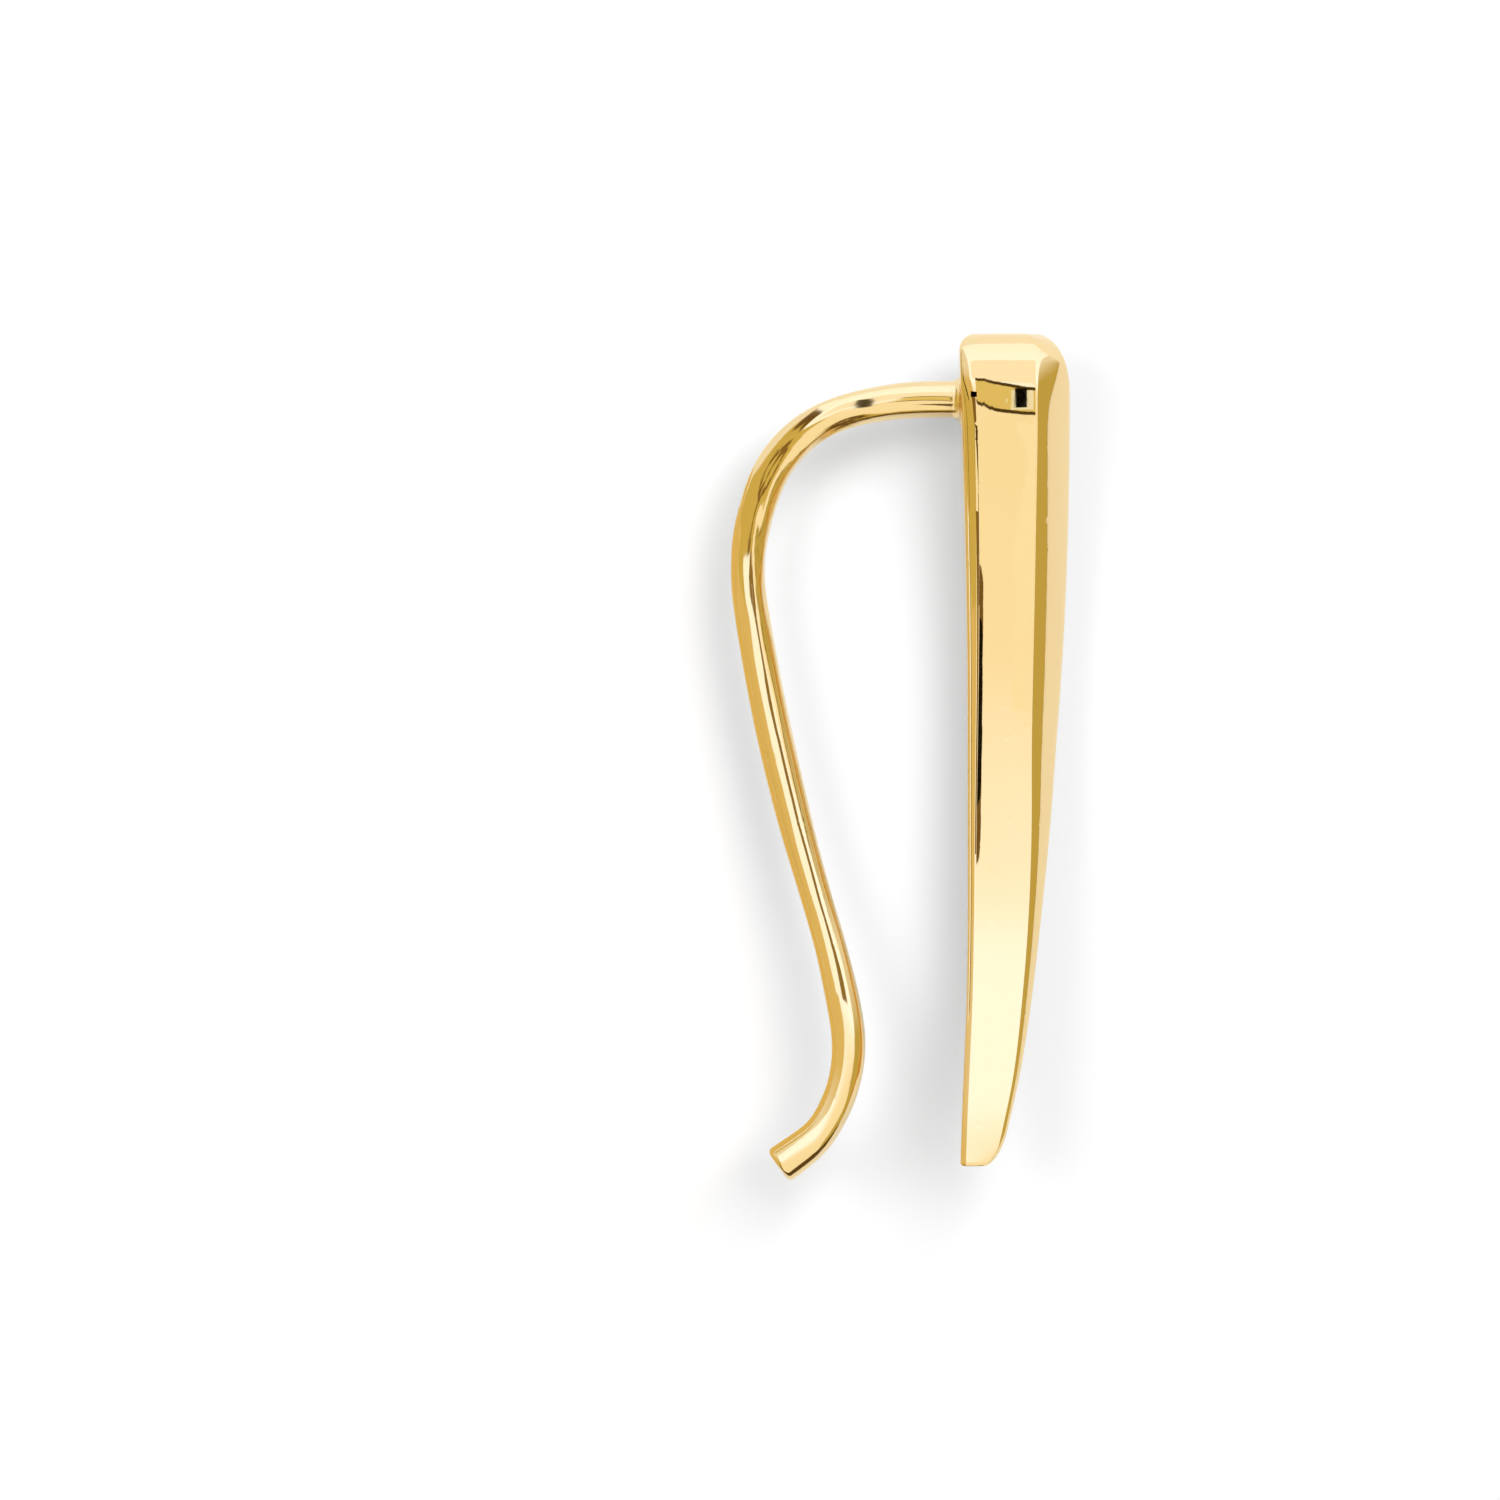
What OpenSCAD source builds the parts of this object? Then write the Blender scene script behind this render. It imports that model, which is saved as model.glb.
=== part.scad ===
// Ear climber for one ear, in polished yellow gold.
// A tusk-shaped bar lies on its belly. A round ear wire is soldered to the bar's back,
// close under the cap, and comes down behind the bar to a kicked-out foot.
// X runs from the wire to the bar's front, Y from the bar's tip to its cap, Z up.
// The origin is the middle of the footprint, on the surface that the belly rests on.

/* [Bar] */
// Length of the bar from its tip to the top of its cap
bar_length = 22.4; // [20:0.1:26]
// Depth of the thick end, from back to front
bar_depth = 2.95; // [2.5:0.05:3.4]
// Breadth of the thick end, from belly side to hollow side
bar_breadth = 3; // [2.7:0.05:3.4]
// Height that the belly's curve climbs by at the tip
belly_rise = 3.5; // [2.5:0.1:4.5]
// How deep the flat is cut that the belly rests on
belly_flat = 0.06; // [0.02:0.01:0.1]
// Depth of the long hollow down the bar's back
back_hollow = 0.25; // [0:0.05:0.5]
// How much the hollow side is crowned at the cap
face_crown = 0.07; // [0:0.01:0.2]
// How much the front is crowned
front_crown = 0.03; // [0:0.01:0.1]
// How far the hollow side falls from the back to the front
hollow_fall = 0.2; // [0:0.05:0.4]

/* [Bar corners] */
// Radius between the front and the hollow side
front_corner_r = 0.97; // [0.6:0.01:1]
// Radius between the front and the belly
belly_corner_r = 1.15; // [0.8:0.05:1.2]
// Radius between the back and the hollow side
back_corner_r = 0.45; // [0.3:0.01:0.6]
// Radius between the back and the belly, kept small as a seat
seat_corner_r = 0.1; // [0.05:0.05:0.4]

/* [Bar ends] */
// Height of the cap's rounding on the hollow side
cap_round_h = 2.15; // [1.6:0.05:2.6]
// How far that rounding comes in
cap_round_in = 1.4; // [1:0.05:1.5]
// Height of the tip's rounding on the front
tip_round_h = 1; // [0.6:0.05:1.4]
// How far that rounding comes in
tip_round_in = 0.43; // [0.2:0.01:0.5]

/* [Ear wire] */
// Diameter of the ear wire where it goes through the ear
wire_d = 1; // [0.8:0.05:1.1]
// Distance from the top of the cap down to the wire
wire_drop = 1.77; // [1.5:0.01:2.5]
// Length of the wire's straight root, where the lobe's piercing sits
root_length = 0.74; // [0.6:0.01:1.2]
// Length of the wire round the arc that clears the lobe
arc_length = 8.67; // [7.5:0.05:9.5]
// How far the middle of the foot's end comes below the bar's tip
foot_below = 0.05; // [-0.5:0.05:0.5]
// How far the foot swings out to the hollow side, measured from the wire's root
foot_swing = 0.6; // [0:0.05:1]
// Radius of the solder fillet round the wire
solder_r = 0.22; // [0.1:0.01:0.3]

/* [Foot of the ear wire] */
// Diameter of the foot, where a stopper slips on
foot_d = 1.04; // [0.9:0.01:1.2]
// Length of the foot's straight end
foot_length = 0.95; // [0.8:0.01:1.3]
// Radius of the foot's rounded edge
foot_edge_r = 0.15; // [0.05:0.01:0.3]

/* [Hidden] */

gold = "#E8C36A";
least_share = 0.5;        // share of a corner that a rounded end leaves
corner_share = 0.95;      // most of a side that its two corners may take
front_corner_long = 1.2;  // front corner: share of its radius that it takes of the front
back_corner_long = 0.6;   // back corner: share of its radius that it takes of the back
wire_sink = 0.9;          // how deep the wire is set into the bar
solder_sink = 0.15;       // how deep the solder ring is set into the bar
joint_lap = 0.25;         // how far the bent wire runs into its straight ends
joint_step = 0.006;       // how much thinner it is inside them
round_fn = 64;            // facets of the true rounds
corner_steps = 6;         // facets of each corner of the bar
side_steps = 4;           // facets of each side of the bar
tube_sides = 20;          // facets round the bent wire

// Sections of the bar, from tip to cap. Lengths are shares of the named sizes.
// along: of bar_length     back: of back_hollow        depth: of bar_depth
// belly: of belly_rise     breadth: of bar_breadth     front_r: of front_corner_r
// belly_r: of belly_corner_r     back_r: of back_corner_r     seat_r: of seat_corner_r
// fall: of hollow_fall     crown: of face_crown
ALONG = 0;
BACK = 1;
DEPTH = 2;
BELLY = 3;
BREADTH = 4;
FRONT_R = 5;
BELLY_R = 6;
BACK_R = 7;
SEAT_R = 8;
FALL = 9;
CROWN = 10;
bar_sections = [
    // along, back, depth, belly, breadth, front_r, belly_r, back_r, seat_r, fall, crown
    [0.00, 0.10, 0.36, 1.02, 0.170, 0.13, 0.28, 0.40, 0.30, 0.30, 0.20],
    [0.05, 0.25, 0.43, 0.89, 0.280, 0.14, 0.53, 0.41, 0.40, 0.35, 0.20],
    [0.10, 0.45, 0.51, 0.74, 0.390, 0.17, 0.79, 0.42, 0.60, 0.40, 0.20],
    [0.20, 0.85, 0.60, 0.54, 0.490, 0.28, 0.93, 0.44, 0.80, 0.50, 0.20],
    [0.30, 1.00, 0.68, 0.36, 0.590, 0.38, 0.97, 0.47, 0.90, 0.60, 0.20],
    [0.40, 1.00, 0.76, 0.21, 0.710, 0.55, 1.00, 0.52, 1.00, 0.75, 0.20],
    [0.50, 1.00, 0.82, 0.09, 0.815, 0.74, 0.96, 0.60, 1.00, 0.90, 0.20],
    [0.60, 0.97, 0.88, 0.002, 0.910, 0.88, 0.88, 0.69, 1.00, 1.00, 0.20],
    [0.70, 0.82, 0.93, 0.010, 0.975, 0.96, 0.84, 0.79, 1.00, 0.90, 0.30],
    [0.80, 0.58, 0.97, 0.08, 1.000, 1.00, 0.82, 0.88, 1.00, 0.45, 0.55],
    [0.90, 0.25, 1.00, 0.24, 1.000, 1.00, 0.80, 0.95, 1.00, -0.15, 0.90],
    [1.00, 0.00, 1.01, 0.42, 0.985, 1.00, 0.78, 1.00, 1.00, -0.35, 1.00]
];

// Rounding of the two ends, one row for each side of the bar.
// Heights and insets are shares of cap_round_h and cap_round_in, or of the tip's own.
END_H = 0;
END_IN = 1;
FRONT = 0;
REAR = 1;
HOLLOW = 2;
UNDER = 3;
cap_rounding = [
    // height, inset
    [0.74, 0.64],
    [0.23, 0.36],
    [1.16, 1.22],
    [0.79, 0.65]
];
tip_rounding = [
    // height, inset
    [1.00, 1.00],
    [0.10, 0.18],
    [0.10, 0.12],
    [0.10, 0.12]
];

// How full each corner is: 0.71 is a quarter of an ellipse, less is more like a bevel.
// In the order front, back, seat, belly, as the corners follow each other round a section.
fullness = [0.25, 0.4, 0.71, 0.35];

// Bends of the ear wire, from the bar's back to the foot.
// of: the named length that the bend's length is a share of     length: that share
// turn: degrees, minus where it bends back     thick: share of wire_d at the bend's end
// swing: share of foot_swing at the bend's end, minus towards the belly
OF = 0;
LENGTH = 1;
TURN = 2;
THICK = 3;
SWING = 4;
ROOT = 0;
ARC = 1;
LEG = 2;
FOOT = 3;
wire_bends = [
    // of, length, turn, thick, swing
    [ROOT, 1.00, 0, 1.00, 0.00],
    [ARC, 0.254, 14, 0.95, -0.02],
    [ARC, 0.376, 54, 1.01, -0.30],
    [ARC, 0.370, 30.5, 0.95, -0.55],
    [LEG, 0.297, 4.5, 0.98, -0.60],
    [LEG, 0.297, 4, 0.85, -0.12],
    [LEG, 0.198, -7.5, 0.93, 0.60],
    [LEG, 0.208, -44, 0.87, 0.98],
    [FOOT, 0.65, -20, 1.00, 1.00],
    [FOOT, 1.00, 0, 1.04, 1.00]
];
FOOT_BEND = len(wire_bends) - 1;

// Smooth curve through one column of a table, at a place along its first column
function slope_at(table, i, column) =
    let (a = max(i - 1, 0), b = min(i + 1, len(table) - 1))
    (table[b][column] - table[a][column]) / (table[b][ALONG] - table[a][ALONG]);

function row_below(table, at, i = 0) =
    i >= len(table) - 2 || at < table[i + 1][ALONG] ? i : row_below(table, at, i + 1);

function smooth(table, at, column) =
    let (
        i = row_below(table, at),
        gap = table[i + 1][ALONG] - table[i][ALONG],
        u = (at - table[i][ALONG]) / gap
    )
    table[i][column] * (1 + 2 * u) * pow(1 - u, 2)
    + table[i + 1][column] * (3 - 2 * u) * pow(u, 2)
    + slope_at(table, i, column) * gap * u * pow(1 - u, 2)
    - slope_at(table, i + 1, column) * gap * pow(u, 2) * (1 - u);

// How far a side comes in near an end that is rounded by a quarter ellipse
function end_inset(row, height, inset, from_end) =
    let (h = row[END_H] * height, gone = max(0, 1 - from_end / h))
    row[END_IN] * inset * (1 - sqrt(1 - pow(gone, 2)));

function side_inset(side, y) =
    end_inset(cap_rounding[side], cap_round_h, cap_round_in, bar_length - y)
    + end_inset(tip_rounding[side], tip_round_h, tip_round_in, y);

// One corner of a section: a curve from one side to the next that is pulled to the sharp corner
function corner(sharp, from, to, full) = [
    for (k = [0:corner_steps])
        let (
            t = k / corner_steps,
            near = pow(1 - t, 2),
            far = pow(t, 2),
            pull = 2 * full * t * (1 - t)
        )
        (near * from + pull * sharp + far * to) / (near + pull + far)
];

// Radii of a corner along the two sides that it joins, eaten away by the end's rounding
function corner_radii(r, in_x, in_z, long) =
    [max(r - in_x, r * least_share), max(r - in_z, r * least_share) * long];

// Points between the end of one corner and the start of the next
function side(from, to) = [
    for (k = [1:side_steps - 1]) from + (to - from) * k / side_steps
];

// The front and the hollow side are pulled in a little towards their corners.
// The hollow side also falls from the back to the front.
function shaped(p, x_mid, x_half, z_mid, z_half, crown, fall) =
    let (px = (p[0] - x_mid) / x_half, pz = (p[1] - z_mid) / z_half)
    [
        p[0] - front_crown * max(px, 0) * pow(pz, 2),
        p[1] - max(pz, 0) * (crown * pow(px, 2) + fall * (px + 1) / 2)
    ];

// Lowest place of the belly's curve, before its flat is cut
belly_search = 60;
belly_low = belly_rise * min([
    for (k = [0:belly_search]) smooth(bar_sections, k / belly_search, BELLY)
]);

// Outline of the bar at one height, as points [x, z] round the section
function bar_outline(y) =
    let (
        at = y / bar_length,
        in_front = side_inset(FRONT, y),
        in_rear = side_inset(REAR, y),
        in_hollow = side_inset(HOLLOW, y),
        in_under = side_inset(UNDER, y),
        back = smooth(bar_sections, at, BACK) * back_hollow,
        curve = smooth(bar_sections, at, BELLY) * belly_rise,
        belly = max(curve, belly_low + belly_flat),
        x0 = back + in_rear,
        x1 = back + smooth(bar_sections, at, DEPTH) * bar_depth - in_front,
        z0 = belly + in_under,
        z1 = curve + smooth(bar_sections, at, BREADTH) * bar_breadth - in_hollow,
        front_r = smooth(bar_sections, at, FRONT_R) * front_corner_r,
        belly_r = smooth(bar_sections, at, BELLY_R) * belly_corner_r,
        back_r = smooth(bar_sections, at, BACK_R) * back_corner_r,
        seat_r = smooth(bar_sections, at, SEAT_R) * seat_corner_r,
        // each corner as [rx, rz]
        fc = corner_radii(front_r, in_front, in_hollow, front_corner_long),
        bc = corner_radii(belly_r, in_front, in_under, 1),
        rc = corner_radii(back_r, in_rear, in_hollow, back_corner_long),
        sc = corner_radii(seat_r, in_rear, in_under, 1),
        // corners that would meet on a side are limited by that side
        fit_x = min(1, corner_share * (x1 - x0) / max(fc[0] + rc[0], bc[0] + sc[0])),
        fit_z = min(1, corner_share * (z1 - z0) / max(fc[1] + bc[1], rc[1] + sc[1])),
        fx = fc[0] * fit_x, fz = fc[1] * fit_z,
        bx = bc[0] * fit_x, bz = bc[1] * fit_z,
        rx = rc[0] * fit_x, rz = rc[1] * fit_z,
        sx = sc[0] * fit_x, sz = sc[1] * fit_z,
        front_arc = corner([x1, z1], [x1, z1 - fz], [x1 - fx, z1], fullness[0]),
        back_arc = corner([x0, z1], [x0 + rx, z1], [x0, z1 - rz], fullness[1]),
        seat_arc = corner([x0, z0], [x0, z0 + sz], [x0 + sx, z0], fullness[2]),
        belly_arc = corner([x1, z0], [x1 - bx, z0], [x1, z0 + bz], fullness[3]),
        points = concat(
            front_arc, side(front_arc[corner_steps], back_arc[0]),
            back_arc, side(back_arc[corner_steps], seat_arc[0]),
            seat_arc, side(seat_arc[corner_steps], belly_arc[0]),
            belly_arc, side(belly_arc[corner_steps], front_arc[0])
        ),
        x_mid = (x0 + x1) / 2,
        x_half = (x1 - x0) / 2,
        z_mid = (z0 + z1) / 2,
        z_half = (z1 - z0) / 2,
        crown = smooth(bar_sections, at, CROWN) * face_crown,
        fall = smooth(bar_sections, at, FALL) * hollow_fall
    )
    [for (p = points) shaped(p, x_mid, x_half, z_mid, z_half, crown, fall)];

// Heights of the sections: close together in the rounded ends, even between them
tip_steps = 8;
body_steps = 40;
cap_steps = 11;
body_h = bar_length - tip_round_h - cap_round_h;
bar_heights = concat(
    [for (k = [0:tip_steps - 1]) tip_round_h * (1 - cos(90 * k / tip_steps))],
    [for (k = [0:body_steps - 1]) tip_round_h + body_h * k / body_steps],
    [for (k = [0:cap_steps]) bar_length - cap_round_h * (1 - sin(90 * k / cap_steps))]
);
bar_rings = [
    for (y = bar_heights) [for (p = bar_outline(y)) [p[0], y, p[1]]]
];

// Skin over a stack of rings that all hold the same number of points
function ring_faces(rings, sides) = concat(
    [[for (k = [sides - 1:-1:0]) k]],
    [
        for (i = [0:rings - 2], k = [0:sides - 1])
            let (a = i * sides + k, b = i * sides + (k + 1) % sides)
            each [[a, b + sides, a + sides], [a, b, b + sides]]
    ],
    [[for (k = [0:sides - 1]) (rings - 1) * sides + k]]
);

function flat(lists) = [for (list = lists) each list];

// The place where the wire is soldered on: the middle of the back, below the cap
solder_y = bar_length - wire_drop;
solder_at = solder_y / bar_length;
solder_x = smooth(bar_sections, solder_at, BACK) * back_hollow;
solder_z = smooth(bar_sections, solder_at, BELLY) * belly_rise
    + smooth(bar_sections, solder_at, BREADTH) * bar_breadth / 2;

// The wire is bent flat first: out runs away from the bar's back, down towards the foot.
// A state is [out, down, heading], and the heading is 0 where the wire leaves the bar.
function bent(state, length, turn) =
    let (
        a = state[2],
        b = a + turn,
        r = length * 180 / (PI * (turn == 0 ? 1 : turn))
    )
    turn == 0
        ? [state[0] + length * cos(a), state[1] + length * sin(a), b]
        : [state[0] + r * (sin(b) - sin(a)), state[1] + r * (cos(a) - cos(b)), b];

function heading_before(i) = i == 0 ? 0 : heading_before(i - 1) + wire_bends[i - 1][TURN];

// How far the wire comes down along the bends that share one named length, per mm of it
function fall_of(which) =
    let (
        falls = [
            for (i = [0:FOOT_BEND])
                if (wire_bends[i][OF] == which)
                    bent([0, 0, heading_before(i)], wire_bends[i][LENGTH], wire_bends[i][TURN])[1]
        ]
    )
    falls * [for (fall = falls) 1];

// The leg is as long as it takes to bring the foot level with the bar's tip
leg_length = (
    bar_length - wire_drop + foot_below - fall_of(ARC) * arc_length - fall_of(FOOT) * foot_length
) / fall_of(LEG);
named_lengths = [root_length, arc_length, leg_length, foot_length];

function bend_length(i) = wire_bends[i][LENGTH] * named_lengths[wire_bends[i][OF]];

function bend_start(i) =
    i == 0 ? [0, 0, 0] : bent(bend_start(i - 1), bend_length(i - 1), wire_bends[i - 1][TURN]);

function length_before(i) = i == 0 ? 0 : length_before(i - 1) + bend_length(i - 1);

// Place, thickness and swing of the wire a share u of the way through bend i
function wire_state(i, u) = bent(bend_start(i), bend_length(i) * u, wire_bends[i][TURN] * u);

function wire_thick(i, u) =
    let (a = wire_bends[max(i - 1, 0)][THICK], b = wire_bends[i][THICK])
    a + (b - a) * (1 - cos(180 * u)) / 2;

// Swing at the end of each bend, by the length of the wire up to there
SWING_THERE = 1;
swings = concat(
    [[0, 0]],
    [for (i = [0:FOOT_BEND]) [length_before(i) + bend_length(i), wire_bends[i][SWING]]]
);

function wire_swing(i, u) =
    foot_swing * smooth(swings, length_before(i) + bend_length(i) * u, SWING_THERE);

// From the flat wire to its place on the bar
function placed(out, down, aside) = [solder_x - out, solder_y - down, solder_z + aside];

function wire_ring(i, u, r) =
    let (state = wire_state(i, u), swing = wire_swing(i, u))
    [
        for (k = [0:tube_sides - 1])
            let (a = 360 * k / tube_sides, across = r * cos(a))
            placed(
                state[0] - across * sin(state[2]),
                state[1] + across * cos(state[2]),
                swing - r * sin(a)
            )
    ];

// Rings of the bent stretch, every few degrees, from inside the root to inside the foot
ring_turn = 5;
ring_gap = 0.9;
function rings_in(i) =
    ceil(max(abs(wire_bends[i][TURN]) / ring_turn, bend_length(i) / ring_gap));
wire_rings = concat(
    [wire_ring(0, 1 - joint_lap / root_length, wire_d / 2 - joint_step)],
    [
        for (i = [1:FOOT_BEND - 1], k = [0:rings_in(i) - 1])
            let (u = k / rings_in(i), step = i == 1 && k == 0 ? joint_step : 0)
            wire_ring(i, u, wire_d / 2 * wire_thick(i, u) - step)
    ],
    [for (lap = [0, joint_lap]) wire_ring(FOOT_BEND, lap / foot_length, foot_d / 2 - joint_step)]
);

foot_start = wire_state(FOOT_BEND, 0);
foot_end = wire_state(FOOT_BEND, 1);

// Lowest and highest places, so that the origin stays at the middle of the footprint
bar_points = flat(bar_rings);
wire_points = flat(wire_rings);
foot_low = placed(0, foot_end[1], 0)[1]
    + foot_edge_r * sin(foot_end[2])
    - (foot_d / 2 - foot_edge_r) * abs(cos(foot_end[2]))
    - foot_edge_r;
x_low = min([for (p = wire_points) p[0]]);
x_high = max([for (p = bar_points) p[0]]);
y_low = min(0, foot_low);
z_low = min([for (p = bar_points) p[2]]);
origin_x = (x_low + x_high) / 2;
origin_y = (y_low + bar_length) / 2;

module climber_bar() {
    polyhedron(points = bar_points, faces = ring_faces(len(bar_rings), len(bar_rings[0])));
}

// Straight root of the wire, from inside the bar to the first bend
module wire_root() {
    translate([solder_x + wire_sink, solder_y, solder_z])
        rotate([0, -90, 0])
            cylinder(d = wire_d, h = wire_sink + root_length, $fn = round_fn);
}

module bent_wire() {
    polyhedron(points = wire_points, faces = ring_faces(len(wire_rings), tube_sides));
}

// Straight foot of the wire, a true round with a rounded edge at its free end
module wire_foot() {
    edge_steps = 6;
    body_r = foot_d / 2;
    translate(placed(foot_start[0], foot_start[1], foot_swing))
        rotate([0, -90, foot_start[2]])
            rotate_extrude($fn = round_fn)
                polygon(concat(
                    [[0, 0], [body_r, 0]],
                    [
                        for (k = [0:edge_steps])
                            let (a = 90 * k / edge_steps)
                            [
                                body_r - foot_edge_r * (1 - cos(a)),
                                foot_length - foot_edge_r * (1 - sin(a))
                            ]
                    ],
                    [[0, foot_length]]
                ));
}

module ear_wire() {
    wire_root();
    bent_wire();
    wire_foot();
}

// Hollow-sided ring of solder between the wire and the bar's back
module solder_fillet() {
    fillet_steps = 6;
    wire_r = wire_d / 2;
    translate([solder_x, solder_y, solder_z])
        rotate([0, -90, 0])
            rotate_extrude($fn = round_fn)
                polygon(concat(
                    [[0, -solder_sink], [wire_r + solder_r, -solder_sink]],
                    [
                        for (k = [0:fillet_steps])
                            let (a = 90 * k / fillet_steps)
                            [wire_r + solder_r * (1 - sin(a)), solder_r * (1 - cos(a))]
                    ],
                    [[0, solder_r]]
                ));
}

module ear_climber() {
    color(gold)
        translate([-origin_x, -origin_y, -z_low])
            union() {
                climber_bar();
                ear_wire();
                solder_fillet();
            }
}

ear_climber();
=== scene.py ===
# %% [markdown]
# # An ear climber in polished gold
# A climber is an earring that runs up along the edge of the ear. This one is a small tusk of
# solid gold with a bent wire soldered to its back. It lies on a white table, on its belly, and
# the camera looks straight down at the hollow side of the tusk.
#
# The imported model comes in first. It is the measured part, made of flat facets. Facets are
# right for measuring and for resting on a table, and wrong for polished gold, because every
# facet would show as its own little mirror. So the lesson builds the same shape again, from
# the same sizes, with rings so close together that the reflections flow.

# %% Load the measured part
import math

import bpy
import numpy as np
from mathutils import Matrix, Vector


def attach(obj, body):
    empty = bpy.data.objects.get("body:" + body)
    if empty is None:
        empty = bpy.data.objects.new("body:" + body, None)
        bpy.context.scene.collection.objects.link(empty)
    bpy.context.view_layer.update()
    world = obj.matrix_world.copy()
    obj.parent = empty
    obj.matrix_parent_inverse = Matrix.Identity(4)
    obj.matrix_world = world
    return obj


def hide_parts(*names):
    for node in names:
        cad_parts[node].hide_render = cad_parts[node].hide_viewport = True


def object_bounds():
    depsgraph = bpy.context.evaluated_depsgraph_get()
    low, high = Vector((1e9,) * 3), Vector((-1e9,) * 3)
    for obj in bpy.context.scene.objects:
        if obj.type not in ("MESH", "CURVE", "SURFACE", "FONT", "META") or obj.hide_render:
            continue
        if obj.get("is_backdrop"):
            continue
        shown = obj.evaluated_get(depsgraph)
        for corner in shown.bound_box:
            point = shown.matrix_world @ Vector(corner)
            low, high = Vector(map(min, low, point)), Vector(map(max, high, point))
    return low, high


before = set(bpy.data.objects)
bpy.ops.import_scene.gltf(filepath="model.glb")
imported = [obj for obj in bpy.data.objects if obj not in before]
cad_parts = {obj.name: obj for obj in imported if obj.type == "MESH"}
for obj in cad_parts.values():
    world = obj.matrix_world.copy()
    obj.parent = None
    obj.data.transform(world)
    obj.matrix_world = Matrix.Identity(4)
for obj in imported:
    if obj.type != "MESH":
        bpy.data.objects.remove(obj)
cad_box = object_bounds()
print("measured part, lowest and highest corner in mm:")
print([[round(v * 1000, 3) for v in corner] for corner in cad_box])

# %% [markdown]
# ## The sizes
# A goldsmith's drawing gives a few main sizes, and everything else is a share of one of them.
# These are the sizes of the measured part, in millimetres. The meshes are scaled to metres at
# the very end, because Blender's scene is in metres.
#
# The last size is the polisher's own. Flat facets cut a crowned side a little short, so the
# smooth side would stand a hair above the measured one. The wheel takes that hair off.

# %% The bar's own sizes, in mm
MM = 0.001
bar_length = 22.4
bar_depth = 2.95  # from the back to the front
bar_breadth = 3.0  # from the belly to the hollow side
belly_rise = 3.5  # how far the belly's curve lifts the tip
belly_flat = 0.06  # filed off the belly
back_hollow = 0.25  # how far the back curves in
face_crown = 0.07  # how far the hollow side bulges
front_crown = 0.03  # how far the front bulges
hollow_fall = 0.2  # how far the hollow side falls towards the front
polished_off = 0.016
print("the bar is", bar_length, "mm long and", bar_breadth, "mm broad")

# %% [markdown]
# ## The sections
# The tusk could be one cylinder, bent and tapered by modifiers, but its depth, its breadth and
# its corners each change along it in their own way. So it is drawn as a boat builder draws a
# hull: twelve sections from the tip to the cap. Each row gives the share of the length where
# the section stands, and then its share of each main size.

# %% Twelve sections, from tip to cap
ALONG, BACK, DEPTH, BELLY, BREADTH, FRONT_R, BELLY_R, BACK_R, SEAT_R, FALL, CROWN = range(11)
bar_sections = np.array([
    # along, back, depth, belly, breadth, front_r, belly_r, back_r, seat_r, fall, crown
    [0.00, 0.10, 0.36, 1.02, 0.170, 0.13, 0.28, 0.40, 0.30, 0.30, 0.20],
    [0.05, 0.25, 0.43, 0.89, 0.280, 0.14, 0.53, 0.41, 0.40, 0.35, 0.20],
    [0.10, 0.45, 0.51, 0.74, 0.390, 0.17, 0.79, 0.42, 0.60, 0.40, 0.20],
    [0.20, 0.85, 0.60, 0.54, 0.490, 0.28, 0.93, 0.44, 0.80, 0.50, 0.20],
    [0.30, 1.00, 0.68, 0.36, 0.590, 0.38, 0.97, 0.47, 0.90, 0.60, 0.20],
    [0.40, 1.00, 0.76, 0.21, 0.710, 0.55, 1.00, 0.52, 1.00, 0.75, 0.20],
    [0.50, 1.00, 0.82, 0.09, 0.815, 0.74, 0.96, 0.60, 1.00, 0.90, 0.20],
    [0.60, 0.97, 0.88, 0.002, 0.910, 0.88, 0.88, 0.69, 1.00, 1.00, 0.20],
    [0.70, 0.82, 0.93, 0.010, 0.975, 0.96, 0.84, 0.79, 1.00, 0.90, 0.30],
    [0.80, 0.58, 0.97, 0.08, 1.000, 1.00, 0.82, 0.88, 1.00, 0.45, 0.55],
    [0.90, 0.25, 1.00, 0.24, 1.000, 1.00, 0.80, 0.95, 1.00, -0.15, 0.90],
    [1.00, 0.00, 1.01, 0.42, 0.985, 1.00, 0.78, 1.00, 1.00, -0.35, 1.00],
])
print(len(bar_sections), "sections are given by hand")

# %% [markdown]
# ## Ironing the curves
# A curve that only passes through the sections is smooth to the touch, but its bend changes
# suddenly at each section, and a mirror shows that as a kink. A polishing wheel takes such
# steps away. Here a short running average along the bar does the same: each value becomes the
# mean of its neighbours within about half a millimetre, so the sizes hardly change and the
# bend no longer jumps.

# %% A smooth curve through one column of a table
def smooth(table, column, places):
    x, y = table[:, ALONG], table[:, column]
    slope = np.empty(len(x))
    slope[1:-1] = (y[2:] - y[:-2]) / (x[2:] - x[:-2])
    slope[0] = (y[1] - y[0]) / (x[1] - x[0])
    slope[-1] = (y[-1] - y[-2]) / (x[-1] - x[-2])
    i = np.clip(np.searchsorted(x, places, side="right") - 1, 0, len(x) - 2)
    gap = x[i + 1] - x[i]
    u = (places - x[i]) / gap
    return (
        y[i] * (1 + 2 * u) * (1 - u) ** 2 + y[i + 1] * (3 - 2 * u) * u**2
        + slope[i] * gap * u * (1 - u) ** 2 - slope[i + 1] * gap * u**2 * (1 - u)
    )


quarter_up = smooth(bar_sections, BREADTH, np.array([0.25]))[0]
print("a quarter of the way up the bar is", round(quarter_up * bar_breadth, 2), "mm broad")


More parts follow.
